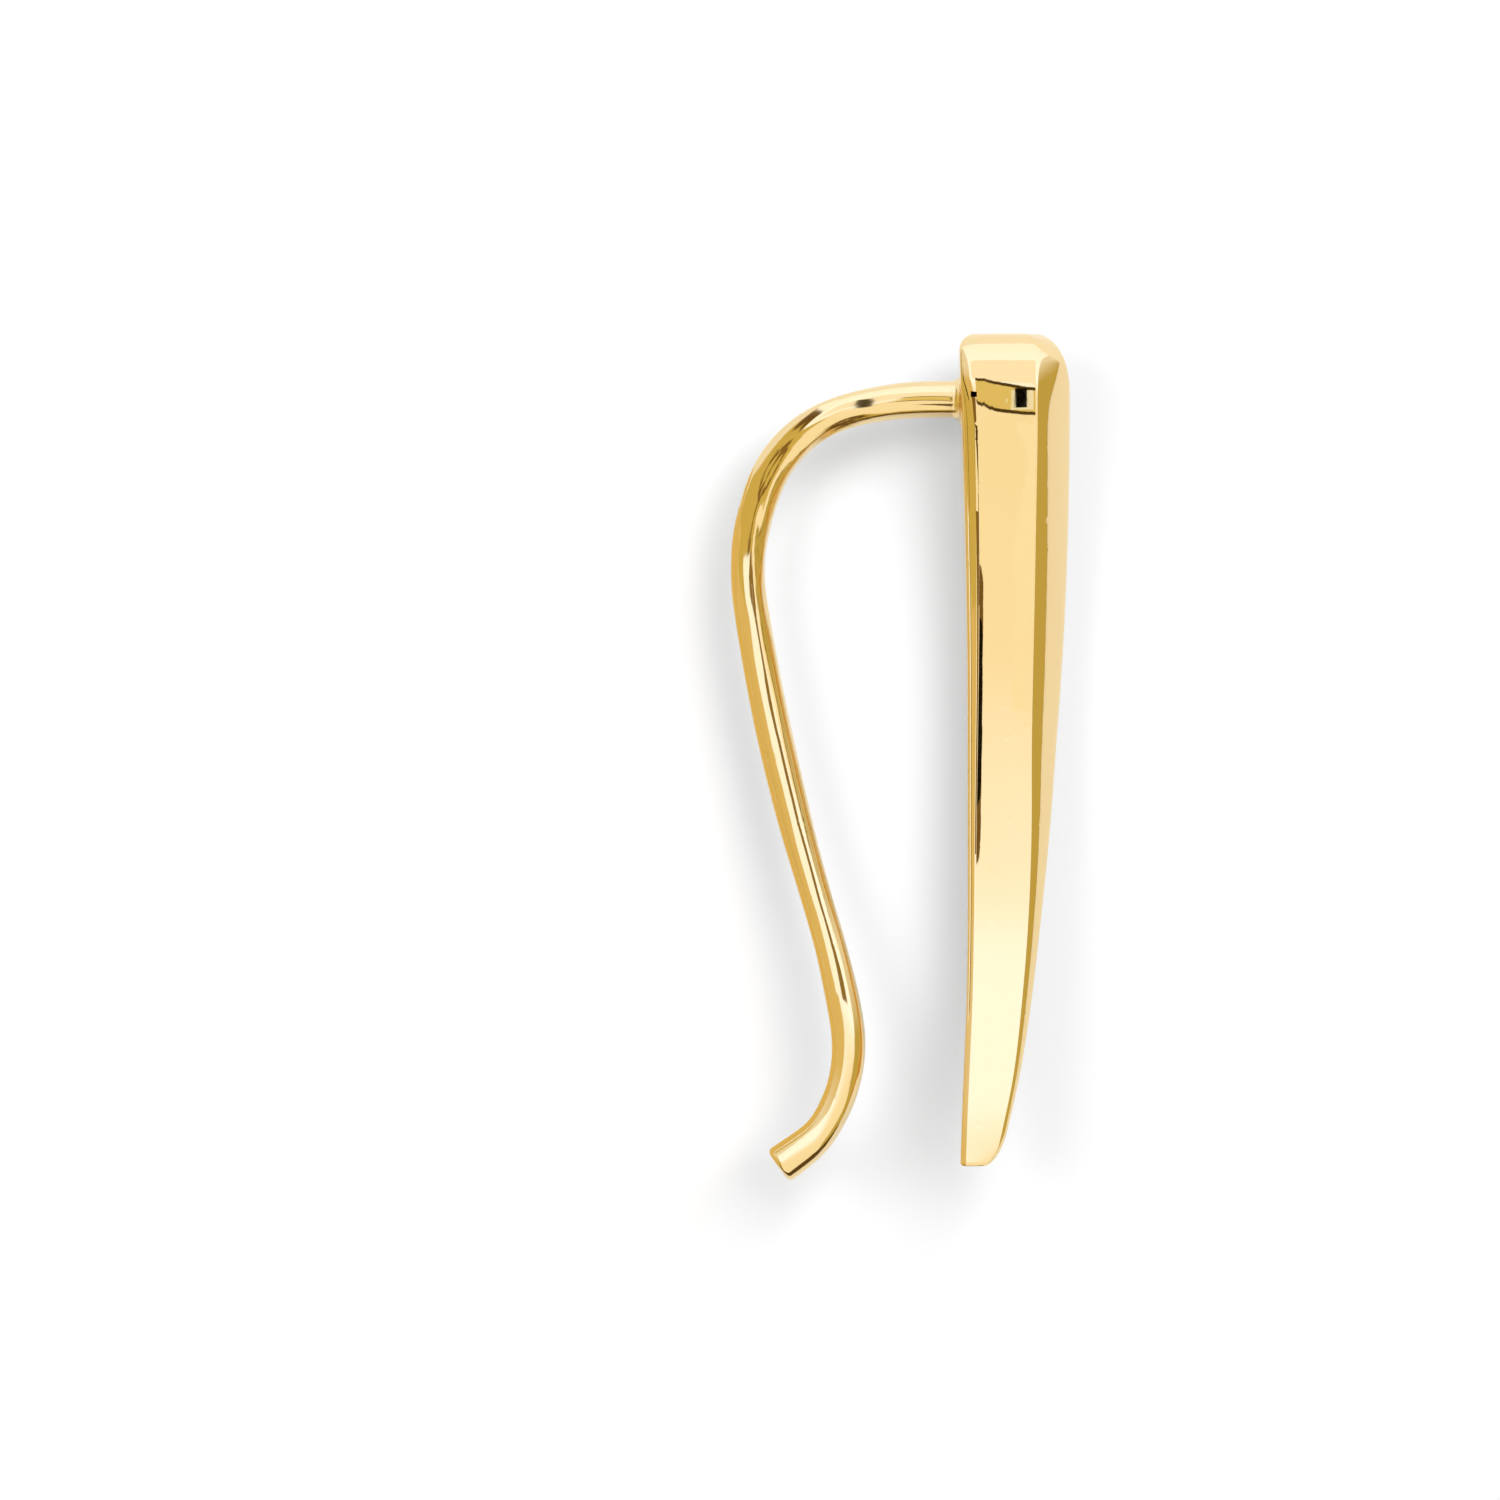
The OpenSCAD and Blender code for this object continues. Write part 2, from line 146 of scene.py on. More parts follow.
# %% Iron a list of evenly spaced values
def iron(values, reach):
    n = math.ceil(3 * reach)
    weights = np.exp(-0.5 * (np.arange(-n, n + 1) / reach) ** 2)
    weights /= weights.sum()
    before = 2 * values[0] - values[n:0:-1]
    after = 2 * values[-1] - values[-2:-n - 2:-1]
    return np.convolve(np.concatenate([before, values, after]), weights, "valid")


print("a step of 0 and 1 is ironed to", iron(np.repeat([0.0, 1.0], 6), 1.0).round(2))

# %% The bar's ironed columns, sampled every 0.02 mm
sample_step = 0.02
ironed_over = 0.55
samples = round(bar_length / sample_step)
shares = np.linspace(0, 1, samples + 1)
reach = ironed_over / sample_step
columns = {
    column: iron(smooth(bar_sections, column, shares), reach)
    for column in range(BACK, CROWN + 1)
}
print("lowest place of the belly:", round(columns[BELLY].min() * belly_rise, 3), "mm")


# %% Read a column at a height above the tip
half_way = bar_length / 2


def at_height(column, y):
    return np.interp(y / bar_length, shares, columns[column])


print("half-way up the bar is", round(at_height(DEPTH, half_way) * bar_depth, 2), "mm deep")

# %% [markdown]
# ## The rounded ends
# The cap is the broad end, soft on every side, and the tip is small and blunt. Towards both of
# them every side comes in by a quarter of an ellipse, and each side has its own height and
# depth of it, because a file and a wheel never round two sides alike. A bevel could round the
# ends too, but only by one radius for all sides.

# %% How far each side comes in at the two ends
cap_round_h, cap_round_in = 2.15, 1.4
tip_round_h, tip_round_in = 1.0, 0.43
side_rounding = {
    # share of the cap's height and depth, share of the tip's height and depth
    "front": (0.74, 0.64, 1.00, 1.00),
    "back": (0.23, 0.36, 0.10, 0.18),
    "hollow": (1.16, 1.22, 0.10, 0.12),
    "under": (0.79, 0.65, 0.10, 0.12),
}


def end_inset(height, inset, from_end):
    gone = max(0.0, 1 - from_end / height)
    return inset * (1 - math.sqrt(1 - gone**2))


def side_inset(side, y):
    cap_h, cap_in, tip_h, tip_in = side_rounding[side]
    return (
        end_inset(cap_h * cap_round_h, cap_in * cap_round_in, bar_length - y)
        + end_inset(tip_h * tip_round_h, tip_in * tip_round_in, y)
    )


top_inset = side_inset("hollow", bar_length)
print("at the very top the hollow side comes in by", round(top_inset, 2), "mm")

# %% [markdown]
# ## The belly
# The belly is the curved underside that rests on the table. A round belly would rock, so a
# flat is filed on it, and the climber lies still. A cut with a boolean could make the flat.
# Here it is simply the lowest height that the belly may have, so the rings stay whole.

# %% The belly's height, with its flat
belly_curve = smooth(bar_sections, BELLY, shares) * belly_rise
flat_level = belly_curve.min() + belly_flat
belly_heights = np.maximum(columns[BELLY] * belly_rise, flat_level)
flat_share = np.mean(belly_heights <= flat_level)
print("the flat is", round(flat_share * bar_length, 2), "mm long")

# %% [markdown]
# ## One section of the bar
# Cut across, the bar is a rounded square with four different corners. The two front corners
# are broad, the two back corners are tighter. A bevel modifier on a box could round the
# corners too, but it can't change the radius along the bar. Writing the outline as a function
# of the height does that directly.

# %% The places of its four sides
def bar_sides(y):
    front, back, hollow, under = (side_inset(side, y) for side in side_rounding)
    spine = at_height(BACK, y) * back_hollow
    x0 = spine + back
    x1 = spine + at_height(DEPTH, y) * bar_depth - front
    z0 = np.interp(y / bar_length, shares, belly_heights) + under
    z1 = at_height(BELLY, y) * belly_rise + at_height(BREADTH, y) * bar_breadth - hollow
    return x0, x1, z0, z1


print("half-way up, back, front, underside, hollow side:", np.round(bar_sides(half_way), 2))

# %% [markdown]
# Each corner has a radius of its own, and it shrinks where the sides come in, down to half.
# Two corners are longer one way than the other, as corners are that were rounded by hand. Two
# neighbouring corners never take more than nearly the whole side between them.

# %% The reach of its four corners, across and up
front_corner_r, belly_corner_r, back_corner_r, seat_corner_r = 0.97, 1.15, 0.45, 0.1
front_corner_long = 1.20
back_corner_long = 0.60
least_share = 0.5  # of its radius, which a corner keeps at the ends
corner_share = 0.95  # of a side, which its two corners may take


def corner_reach(y, sides):
    x0, x1, z0, z1 = sides
    front, back, hollow, under = (side_inset(side, y) for side in side_rounding)
    wanted = [
        (at_height(FRONT_R, y) * front_corner_r, front, hollow),
        (at_height(BACK_R, y) * back_corner_r, back, hollow),
        (at_height(SEAT_R, y) * seat_corner_r, back, under),
        (at_height(BELLY_R, y) * belly_corner_r, front, under),
    ]
    radii = np.array([
        [max(r - a, r * least_share), max(r - b, r * least_share)] for r, a, b in wanted
    ])
    radii[0, 1] *= front_corner_long
    radii[1, 1] *= back_corner_long
    front_c, back_c, seat_c, belly_c = radii
    widest = max(front_c[0] + back_c[0], belly_c[0] + seat_c[0])
    tallest = max(front_c[1] + belly_c[1], back_c[1] + seat_c[1])
    radii[:, 0] *= min(1, corner_share * (x1 - x0) / widest)
    radii[:, 1] *= min(1, corner_share * (z1 - z0) / tallest)
    return radii


half_way_reach = corner_reach(half_way, bar_sides(half_way))
print("half-way up the front corner reaches", half_way_reach[0].round(2), "mm across and up")

# %% [markdown]
# Each corner is an arc with a fullness. At 0.71 the arc is a quarter of an ellipse. Lower
# values flatten its middle, as a file does before the wheel softens the edges. So the front
# corner becomes a narrow face of its own and mirrors one thing all the way down. The points
# along the hollow side crowd towards the ridge at the back, where the surface bends most.

# %% One corner, and the way round all four
corner_points = 20
side_points = (28, 10, 12, 10)
fullness = (0.25, 0.40, 0.71, 0.35)
ridge_crowding = 1.7  # 1 would space the points evenly


def corner_arc(sharp, start, end, fullness):
    t = np.arange(corner_points + 1)[:, None] / corner_points
    pull = 2 * fullness * t * (1 - t)
    near, far = (1 - t) ** 2, t**2
    return (near * start + pull * sharp + far * end) / (near + pull + far)


def rounded_square(sides, radii):
    x0, x1, z0, z1 = sides
    corners = np.array([(x1, z1), (x0, z1), (x0, z0), (x1, z0)])
    arcs = []
    for k in range(4):
        x_end = corners[k] + [(-1, 1, 1, -1)[k] * radii[k][0], 0]
        z_end = corners[k] + [0, (-1, -1, 1, 1)[k] * radii[k][1]]
        ends = (z_end, x_end) if k % 2 == 0 else (x_end, z_end)
        arcs.append(corner_arc(corners[k], *ends, fullness[k]))
    rows = []
    for k in range(4):
        start, end = arcs[k][-1], arcs[(k + 1) % 4][0]
        u = np.arange(1, side_points[k])[:, None] / side_points[k]
        if k == 0:
            u = 1 - (1 - u) ** ridge_crowding
        rows += [arcs[k], start + (end - start) * u]
    ridge_x = arcs[1][0, 0]
    return np.vstack(rows), ridge_x


print("a corner has", corner_points + 1, "points, and the sides have", side_points)

# %% [markdown]
# Last come the shapes that a wheel leaves on the two long faces. The hollow side and the front
# bulge by a few hundredths of a millimetre. The hollow side also keeps a narrow level ridge at
# the back and falls from there to the front. Without these the faces would be dead flat, and
# each would mirror one flat colour.

# %% The whole outline at one height
ridge_width = 0.13  # the level strip at the back
ridge_soft = 0.05  # how softly the fall begins


def bar_outline(y):
    sides = bar_sides(y)
    x0, x1, z0, z1 = sides
    points, ridge_x = rounded_square(sides, corner_reach(y, sides))
    to_front = (points[:, 0] - (x0 + x1) / 2) / ((x1 - x0) / 2)
    to_hollow = (points[:, 1] - (z0 + z1) / 2) / ((z1 - z0) / 2)
    crown = at_height(CROWN, y) * face_crown
    past_ridge = points[:, 0] - ridge_x - ridge_width
    past_ridge = (past_ridge + np.hypot(past_ridge, ridge_soft)) / 2
    fall = at_height(FALL, y) * hollow_fall * past_ridge / (x1 - x0)
    points[:, 0] -= front_crown * np.maximum(to_front, 0) * to_hollow**2
    points[:, 1] -= np.maximum(to_hollow, 0) * (crown * to_front**2 + fall + polished_off)
    return np.c_[points[:, 0], np.full(len(points), y), points[:, 1]]


print(len(bar_outline(half_way)), "points go round each section")

# %% Rings from tip to cap, closer together in the rounded ends
tip_rings, body_rings, cap_rings = 18, 190, 34
body_h = bar_length - tip_round_h - cap_round_h
quarter = np.radians(90)
ring_heights = np.concatenate([
    tip_round_h * (1 - np.cos(quarter * np.arange(tip_rings) / tip_rings)),
    tip_round_h + body_h * np.arange(body_rings) / body_rings,
    bar_length - cap_round_h * (1 - np.sin(quarter * np.arange(cap_rings + 1) / cap_rings)),
])
bar_rings = [bar_outline(y) for y in ring_heights]
print(len(bar_rings), "rings make the bar")

# %% [markdown]
# ## Where the part stands
# The drawing starts at the bar's back and tip. The measured part stands with the middle of its
# footprint at the origin and its flat on the table. The same move brings the rings there.

# %% From the drawing's corner to the part's place
footprint_middle = (-1.57325, 10.9929)
origin = np.array([*footprint_middle, flat_level])
bar_rings = [ring - origin for ring in bar_rings]
print("the bar now reaches from", np.min(bar_rings, axis=(0, 1)).round(2), "to",
      np.max(bar_rings, axis=(0, 1)).round(2))

# %% [markdown]
# ## A skin over rings
# Every piece here is a stack of rings with the same number of points, so one helper makes them
# all: four-sided faces between neighbouring rings, and a small fan at each closed end. The
# faces are shaded smooth.
#
# The helper also writes down, for every point, where it would lie if the piece were straight.
# Scratches and drawing lines follow the metal, also round a bend, so the finish uses that
# place instead of the place in the room. A second number says how worn the metal is there.

# %% The faces of a stack of rings
def ring_faces(count, around):
    faces = []
    for i in range(count - 1):
        for k in range(around):
            a, b = i * around + k, i * around + (k + 1) % around
            faces.append((a, a + around, b + around, b))
    middle = count * around
    for ring, turn in ((0, 1), (count - 1, -1)):
        for k in range(around):
            edge = (ring * around + k, ring * around + (k + 1) % around)
            faces.append((middle, *edge[::turn]))
        middle += 1
    return faces


print("three rings of eight points make", len(ring_faces(3, 8)), "faces")


# %% A piece, with two notes at each point
def note_points(mesh, name, values):
    kind, field = ("FLOAT_VECTOR", "vector") if np.ndim(values) == 2 else ("FLOAT", "value")
    layer = mesh.attributes.new(name, kind, "POINT")
    layer.data.foreach_set(field, np.ravel(values))


def with_end_points(stack):
    return np.vstack([stack.reshape(-1, 3), stack[[0, -1]].mean(axis=1)])


def skin(name, rings, straight=None, wear=None):
    rings = np.array(rings) * MM
    straight = rings if straight is None else straight * MM
    count, around = rings.shape[:2]
    wear = np.ones(count) if wear is None else wear
    mesh = bpy.data.meshes.new(name)
    mesh.from_pydata(with_end_points(rings).tolist(), [], ring_faces(count, around))
    mesh.update()
    mesh.shade_smooth()
    note_points(mesh, "straight", with_end_points(straight))
    note_points(mesh, "wear", np.r_[np.repeat(wear, around), wear[[0, -1]]])
    piece = bpy.data.objects.new(name, mesh)
    bpy.context.scene.collection.objects.link(piece)
    print(name, "has", len(mesh.polygons), "faces")
    return piece


# %% The climber bar
climber_bar = skin("climber_bar", bar_rings)

# %% [markdown]
# ## The ear wire
# The wire is one length of round gold wire, bent over a mandrel. It leaves the bar's back at
# a right angle, goes round in an arc that clears the ear lobe, runs down behind the bar, and
# kicks out at the foot, where a stopper slips on. A Blender curve with a round bevel could
# follow such a path, but its points would have to be found by eye. The drawing gives a row of
# bends instead, as a bench worker would. Each bend has a length, a turn, a thickness at its
# end and a swing out of the flat plane.

# %% The wire's own sizes, in mm
wire_d = 1.0
wire_drop = 1.77  # from the top of the cap down to the wire
foot_swing = 0.6  # how far the foot stands out of the flat plane
foot_d, foot_length, foot_edge_r = 1.04, 0.95, 0.15
filed_off = 0.004  # off the end of the foot, so that it stays inside its drawing
lengths = {"root": 0.74, "arc": 8.67, "leg": 14.6649, "foot": foot_length}
print("the wire is", wire_d, "mm thick")

# %% Its bends, from the bar to the foot
wire_bends = [
    # of, length, turn, thick, swing
    ("root", 1.000, 0, 1.00, 0.00),
    ("arc", 0.254, 14, 0.95, -0.02),
    ("arc", 0.376, 54, 1.01, -0.30),
    ("arc", 0.370, 30.5, 0.95, -0.55),
    ("leg", 0.297, 4.5, 0.98, -0.60),
    ("leg", 0.297, 4, 0.85, -0.12),
    ("leg", 0.198, -7.5, 0.93, 0.60),
    ("leg", 0.208, -44, 0.87, 0.98),
    ("foot", 0.650, -20, 1.00, 1.00),
    ("foot", 1.000, 0, 1.04, 1.00),
]
wire_length = sum(share * lengths[of] for of, share, *_ in wire_bends)
print("the wire is", round(wire_length, 2), "mm long")

# %% Where the wire is soldered to the bar's back
solder_y = bar_length - wire_drop
solder_share = np.array([solder_y / bar_length])
solder = np.array([
    smooth(bar_sections, BACK, solder_share)[0] * back_hollow,
    solder_y,
    smooth(bar_sections, BELLY, solder_share)[0] * belly_rise
    + smooth(bar_sections, BREADTH, solder_share)[0] * bar_breadth / 2,
]) - origin
print("soldered on at", solder.round(3))

# %% Follow the bends, one small step at a time
path_step = 0.05
ends, swings, turned, thicks = [0.0], [0.0], [0.0], [1.0]
for of, share, turn, thick, swing in wire_bends:
    ends.append(ends[-1] + share * lengths[of])
    turned.append(turned[-1] + turn)
    swings.append(swing)
    thicks.append(thick)
run = np.linspace(0, wire_length, round(wire_length / path_step) + 1)
heading = np.radians(np.interp(run, ends, turned))
middle = (heading[1:] + heading[:-1]) / 2
step = run[1]
out = np.concatenate([[0], np.cumsum(np.cos(middle))]) * step
down = np.concatenate([[0], np.cumsum(np.sin(middle))]) * step
aside = foot_swing * smooth(np.c_[ends, swings], 1, run)
print("the foot ends", round(out[-1], 2), "mm behind the bar and", round(down[-1], 2),
      "mm down")

# %% Iron the path a little, as the mandrel does
path_ironed_over = 0.3
path_reach = path_ironed_over / step
wire_path = np.c_[solder[0] - out, solder[1] - down, solder[2] + aside]
wire_path = np.column_stack([iron(wire_path[:, k], path_reach) for k in range(3)])
place = np.clip(np.searchsorted(ends, run, side="right") - 1, 0, len(wire_bends) - 1)
part_way = (run - np.array(ends)[place]) / np.diff(ends)[place]
ease = (1 - np.cos(np.pi * part_way)) / 2
thickness = np.array(thicks)[place] * (1 - ease) + np.array(thicks)[place + 1] * ease
wire_r = iron(wire_d / 2 * thickness, path_reach)
print("its radius runs from", wire_r.min().round(3), "to", wire_r.max().round(3), "mm")

# %% [markdown]
# The wire's two ends need care. At the bar it carries on a little into the metal, so that no
# gap can show in the solder. At the foot its cut edge is rounded with a small file, because a
# sharp edge would hurt the ear. The rounding is a quarter circle of short steps.

# %% Carry on into the bar, and round the edge of the foot
sink = 0.6  # how far the wire carries on into the bar
edge_steps = 8  # round the edge of the foot
foot_steps = 4  # the last ones, which give the foot's direction
root_dir = np.array([1.0, 0, 0])
inside = solder + root_dir * np.array([sink, sink / 2])[:, None]
wire_path = np.vstack([inside, wire_path])
wire_r = np.concatenate([[wire_d / 2, wire_d / 2], wire_r])
edge = quarter * np.arange(1, edge_steps + 1) / edge_steps
foot_dir = wire_path[-1] - wire_path[-1 - foot_steps]
foot_dir /= np.linalg.norm(foot_dir)
keep = np.linalg.norm(wire_path - wire_path[-1], axis=1) > foot_edge_r
edge_start = wire_path[-1] - foot_dir * (foot_edge_r + filed_off)
edge_path = edge_start + foot_dir * foot_edge_r * np.sin(edge)[:, None]
edge_r = foot_d / 2 - foot_edge_r * (1 - np.cos(edge))
wire_path = np.vstack([wire_path[keep], edge_start, edge_path])
wire_r = np.concatenate([wire_r[keep], [foot_d / 2], edge_r])
print(len(wire_path), "rings make the wire")

# %% [markdown]
# ## The marks of bending
# Bending leaves its marks. The jaws that turn a wire round the mandrel press long shallow
# hollows into it, most of all along the arc, and those break up its reflections. A bump
# texture could fake them, but they are wide enough to bend the wire's outline, so they are
# real shape here: a few slow waves round and along the wire. Each mark is a few hundredths of
# a millimetre deep. They are only pressed in and never stand out, so the wire stays inside
# its drawing.

# %% How deep the marks are, and how they run
wire_marks = np.array([
    # share of the wire, usual depth in mm
    [0.00, 0.002],
    [0.06, 0.004],
    [0.12, 0.030],
    [0.20, 0.042],
    [0.30, 0.040],
    [0.36, 0.020],
    [0.42, 0.007],
    [0.80, 0.005],
    [0.92, 0.014],
    [1.00, 0.008],
])
mark_waves = [
    # waves round the wire, radians per mm along it, start, strength
    (2, 0.9, 0.4, 0.35),
    (3, -1.3, 1.9, 0.30),
    (5, 1.7, 0.0, 0.25),
    (8, -2.3, 2.6, 0.20),
    (13, 1.1, 4.0, 0.08),
]
mark_level = 0.3  # above 0, more of the wire is pressed than not
mark_soft = 0.1  # how softly a mark ends


def usual_depth(run):
    return np.interp(run / wire_length, wire_marks[:, 0], wire_marks[:, 1])


def mark_depth(run, a):
    pressed = mark_level + sum(
        strength * np.sin(count * a + pace * run + start)
        for count, pace, start, strength in mark_waves
    )
    return usual_depth(run) * (pressed + np.hypot(pressed, mark_soft)) / 2


arc_middle = lengths["root"] + lengths["arc"] / 2
print("half-way along the arc a usual mark is", usual_depth(arc_middle).round(3), "mm deep")

# %% Rings square to the path
wire_points = 96
wire_along = np.gradient(wire_path, axis=0)
wire_along[-1 - edge_steps:] = foot_dir
wire_along /= np.linalg.norm(wire_along, axis=1)[:, None]
side = np.cross([0, 0, 1.0], wire_along)
side /= np.linalg.norm(side, axis=1)[:, None]
up = np.cross(wire_along, side)
round_wire = 2 * np.pi * np.arange(wire_points) / wire_points
steps = np.linalg.norm(np.diff(wire_path, axis=0), axis=1)
wire_run = np.concatenate([[0], np.cumsum(steps)]) - sink
marked_r = wire_r[:, None] - mark_depth(wire_run[:, None], round_wire[None, :])
across, upward = marked_r * np.cos(round_wire), marked_r * np.sin(round_wire)
wire_rings = (
    wire_path[:, None] + across[:, :, None] * side[:, None] - upward[:, :, None] * up[:, None]
)
print("the marks are up to", round(float((wire_r[:, None] - marked_r).max()), 3), "mm deep")

# %% The ear wire, with its hairlines strongest where the jaws gripped it
wear_per_mm = 330
straight_wire = np.stack(
    [across, np.repeat(wire_run[:, None], wire_points, axis=1), upward], axis=2
)
wire_wear = 1 + wear_per_mm * usual_depth(wire_run)
ear_wire = skin("ear_wire", wire_rings, straight_wire, wire_wear)

# %% [markdown]
# ## The solder fillet
# Solder runs into the corner between wire and bar and sets as a small hollow-sided ring. A
# torus would bulge the wrong way, so the ring is a quarter circle, hollow side out, swept
# round the wire. Real solder is never quite even, so its width wanders a little.

# %% The ring of solder
solder_r = 0.22
fillet_steps = 14
fillet_sink = 0.15  # how far the ring goes on into the bar
fillet_lip = 0.01  # how far its thin end goes on along the wire
fillet_waves = [
    # waves round the wire, start, strength
    (2, 0.7, 0.10),
    (5, 2.0, 0.05),
]
uneven = 1 + sum(
    strength * np.sin(count * round_wire + start) for count, start, strength in fillet_waves
)
fillet_rings = []
for angle in quarter * np.arange(fillet_steps + 1) / fillet_steps:
    off_wire = wire_d / 2 + solder_r * (1 - math.sin(angle)) * uneven
    off_bar = solder_r * (1 - math.cos(angle))
    fillet_rings.append(np.c_[
        np.full(wire_points, solder[0] - off_bar),
        solder[1] + off_wire * np.cos(round_wire),
        solder[2] - off_wire * np.sin(round_wire),
    ])
fillet_rings.insert(0, fillet_rings[0] + root_dir * fillet_sink)
fillet_rings.append(fillet_rings[-1] - root_dir * fillet_lip)
solder_fillet = skin("solder_fillet", fillet_rings)

# %% [markdown]
# ## Polished gold
# Polished yellow gold is a mirror with its own colour. What makes it look real is what the
# buffing wheel leaves: a faint haze that varies from place to place, hairline marks along the
# piece, a few tiny pits, and a surface that is never perfectly even. A photograph of scratches
# could be wrapped round the piece, but it would need to be unwrapped and would show seams. All
# of it comes from noise in the shader instead, in the straightened piece's own metres.

# %% The wheel's marks, as the settings of their nodes
haze_noise = {"Scale": 900.0, "Detail": 4.0, "Roughness": 0.6}
hair_noise = {"Scale": 9000.0, "Detail": 3.0}
skin_noise = {"Scale": 700.0, "Detail": 1.0}
pit_noise = {"Scale": 2600.0, "Detail": 0.0}
hair_drawn_out = (1.0, 0.08, 1.0)
hair_strength = 0.03
hair_bump = {"Distance": 0.00002}
skin_bump = {"Distance": 0.00004, "Strength": 0.02}
pit_bump = {"Distance": 0.00003, "Strength": 0.05, "invert": True}
pit_from, pit_full = 0.74, 0.82
print("hairlines are drawn out", round(1 / hair_drawn_out[1], 1), "times along the piece")


# %% A node with its settings, and the haze: patches that are a little rougher
def add_node(tree, kind, **settings):
    node = tree.nodes.new(kind)
    for name, value in settings.items():
        if name in node.inputs:
            node.inputs[name].default_value = value
        else:
            setattr(node, name, value)
    return node


def add_haze(tree, place, least, most):
    cloud = add_node(tree, "ShaderNodeTexNoise", **haze_noise)
    hazy = add_node(tree, "ShaderNodeMapRange")
    hazy.inputs["To Min"].default_value = least
    hazy.inputs["To Max"].default_value = most
    tree.links.new(place, cloud.inputs["Vector"])
    tree.links.new(cloud.outputs["Fac"], hazy.inputs["Value"])
    return hazy.outputs["Result"]


print("patches of haze are about", round(1000 / haze_noise["Scale"], 1), "mm across")


# %% Hairlines, stronger where the metal is worn, on a skin that is never quite even
def add_hairlines(tree, place, worn):
    stretch = add_node(tree, "ShaderNodeMapping", Scale=hair_drawn_out)
    hairs = add_node(tree, "ShaderNodeTexNoise", **hair_noise)
    stronger = add_node(tree, "ShaderNodeMath", operation="MULTIPLY")
    stronger.inputs[1].default_value = hair_strength
    bump = add_node(tree, "ShaderNodeBump", **hair_bump)
    tree.links.new(place, stretch.inputs["Vector"])
    tree.links.new(stretch.outputs["Vector"], hairs.inputs["Vector"])
    tree.links.new(worn, stronger.inputs[0])
    tree.links.new(stronger.outputs["Value"], bump.inputs["Strength"])
    tree.links.new(hairs.outputs["Fac"], bump.inputs["Height"])
    return bump.outputs["Normal"]


def add_uneven_skin(tree, place, below):
    waves = add_node(tree, "ShaderNodeTexNoise", **skin_noise)
    bump = add_node(tree, "ShaderNodeBump", **skin_bump)
    tree.links.new(place, waves.inputs["Vector"])
    tree.links.new(waves.outputs["Fac"], bump.inputs["Height"])
    tree.links.new(below, bump.inputs["Normal"])
    return bump.outputs["Normal"]


print("the skin's waves are about", round(1000 / skin_noise["Scale"], 1), "mm long")


# %% Pits: only the highest spots of a noise, pressed in
def add_pits(tree, place, below):
    spots = add_node(tree, "ShaderNodeTexNoise", **pit_noise)
    few = add_node(tree, "ShaderNodeMapRange")
    few.inputs["From Min"].default_value = pit_from
    few.inputs["From Max"].default_value = pit_full
    bump = add_node(tree, "ShaderNodeBump", **pit_bump)
    tree.links.new(place, spots.inputs["Vector"])
    tree.links.new(spots.outputs["Fac"], few.inputs["Value"])
    tree.links.new(few.outputs["Result"], bump.inputs["Height"])
    tree.links.new(below, bump.inputs["Normal"])
    return bump.outputs["Normal"]


print("a pit is at most", round(pit_bump["Distance"] * 1000, 2), "mm deep")


# %% The gold itself
def polished_gold(name, colour, haze_span):
    material = bpy.data.materials.new(name)
    material.use_nodes = True
    tree = material.node_tree
    shader = tree.nodes["Principled BSDF"]
    shader.inputs["Metallic"].default_value = 1.0
    shader.inputs["Base Color"].default_value = (*colour, 1)
    place = add_node(tree, "ShaderNodeAttribute", attribute_name="straight").outputs["Vector"]
    worn = add_node(tree, "ShaderNodeAttribute", attribute_name="wear").outputs["Fac"]
    haze = add_haze(tree, place, *haze_span)
    tree.links.new(haze, shader.inputs["Roughness"])
    hairlines = add_hairlines(tree, place, worn)
    uneven_skin = add_uneven_skin(tree, place, hairlines)
    tree.links.new(add_pits(tree, place, uneven_skin), shader.inputs["Normal"])
    return material


gold_colour = (0.85, 0.65, 0.335)
bar_haze, wire_haze = (0.02, 0.07), (0.07, 0.13)  # least and most roughness
bar_gold = polished_gold("polished_gold", gold_colour, bar_haze)
wire_gold = polished_gold("wire_gold", gold_colour, wire_haze)
print("gold colour:", gold_colour)

# %% [markdown]
# The wire is harder to reach with a wheel than the bar, so it keeps more haze. The pieces ride
# on the part's only body, and together they stand for its one solid. They don't throw
# coloured light back on the table, which stays as neutral as paper.

# %% Give the pieces their finish
for piece in (climber_bar, ear_wire, solder_fillet):
    piece.visible_diffuse = False
    piece.data.materials.append(bar_gold if piece == climber_bar else wire_gold)
    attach(piece, "root")
    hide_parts("ear_climber")
    print(piece.name, "is finished in", piece.data.materials[0].name)

# %% [markdown]
# ## The table
# The climber lies on plain white, lit so brightly that only its soft shadows show. A round
# disc is enough. Its edge is far outside the picture.

# %% A plain material, and the table
def plain(name, colour, roughness):
    material = bpy.data.materials.new(name)
    material.use_nodes = True
    shader = material.node_tree.nodes["Principled BSDF"]
    shader.inputs["Base Color"].default_value = (*colour, 1)
    shader.inputs["Roughness"].default_value = roughness
    return material


def flat_piece(name, points, faces):
    mesh = bpy.data.meshes.new(name)
    mesh.from_pydata(points, [], faces)
    thing = bpy.data.objects.new(name, mesh)
    bpy.context.scene.collection.objects.link(thing)
    return thing


table_r, table_points = 0.9, 96
round_table = 2 * np.pi * np.arange(table_points) / table_points
rim = np.c_[np.cos(round_table), np.sin(round_table), np.zeros(table_points)] * table_r
table = flat_piece("table", rim.tolist(), [tuple(range(table_points))])
white = plain("white_table", colour=(0.93, 0.93, 0.935), roughness=0.6)
table.data.materials.append(white)
table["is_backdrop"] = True
print("the table is", 2 * table_r, "m across")

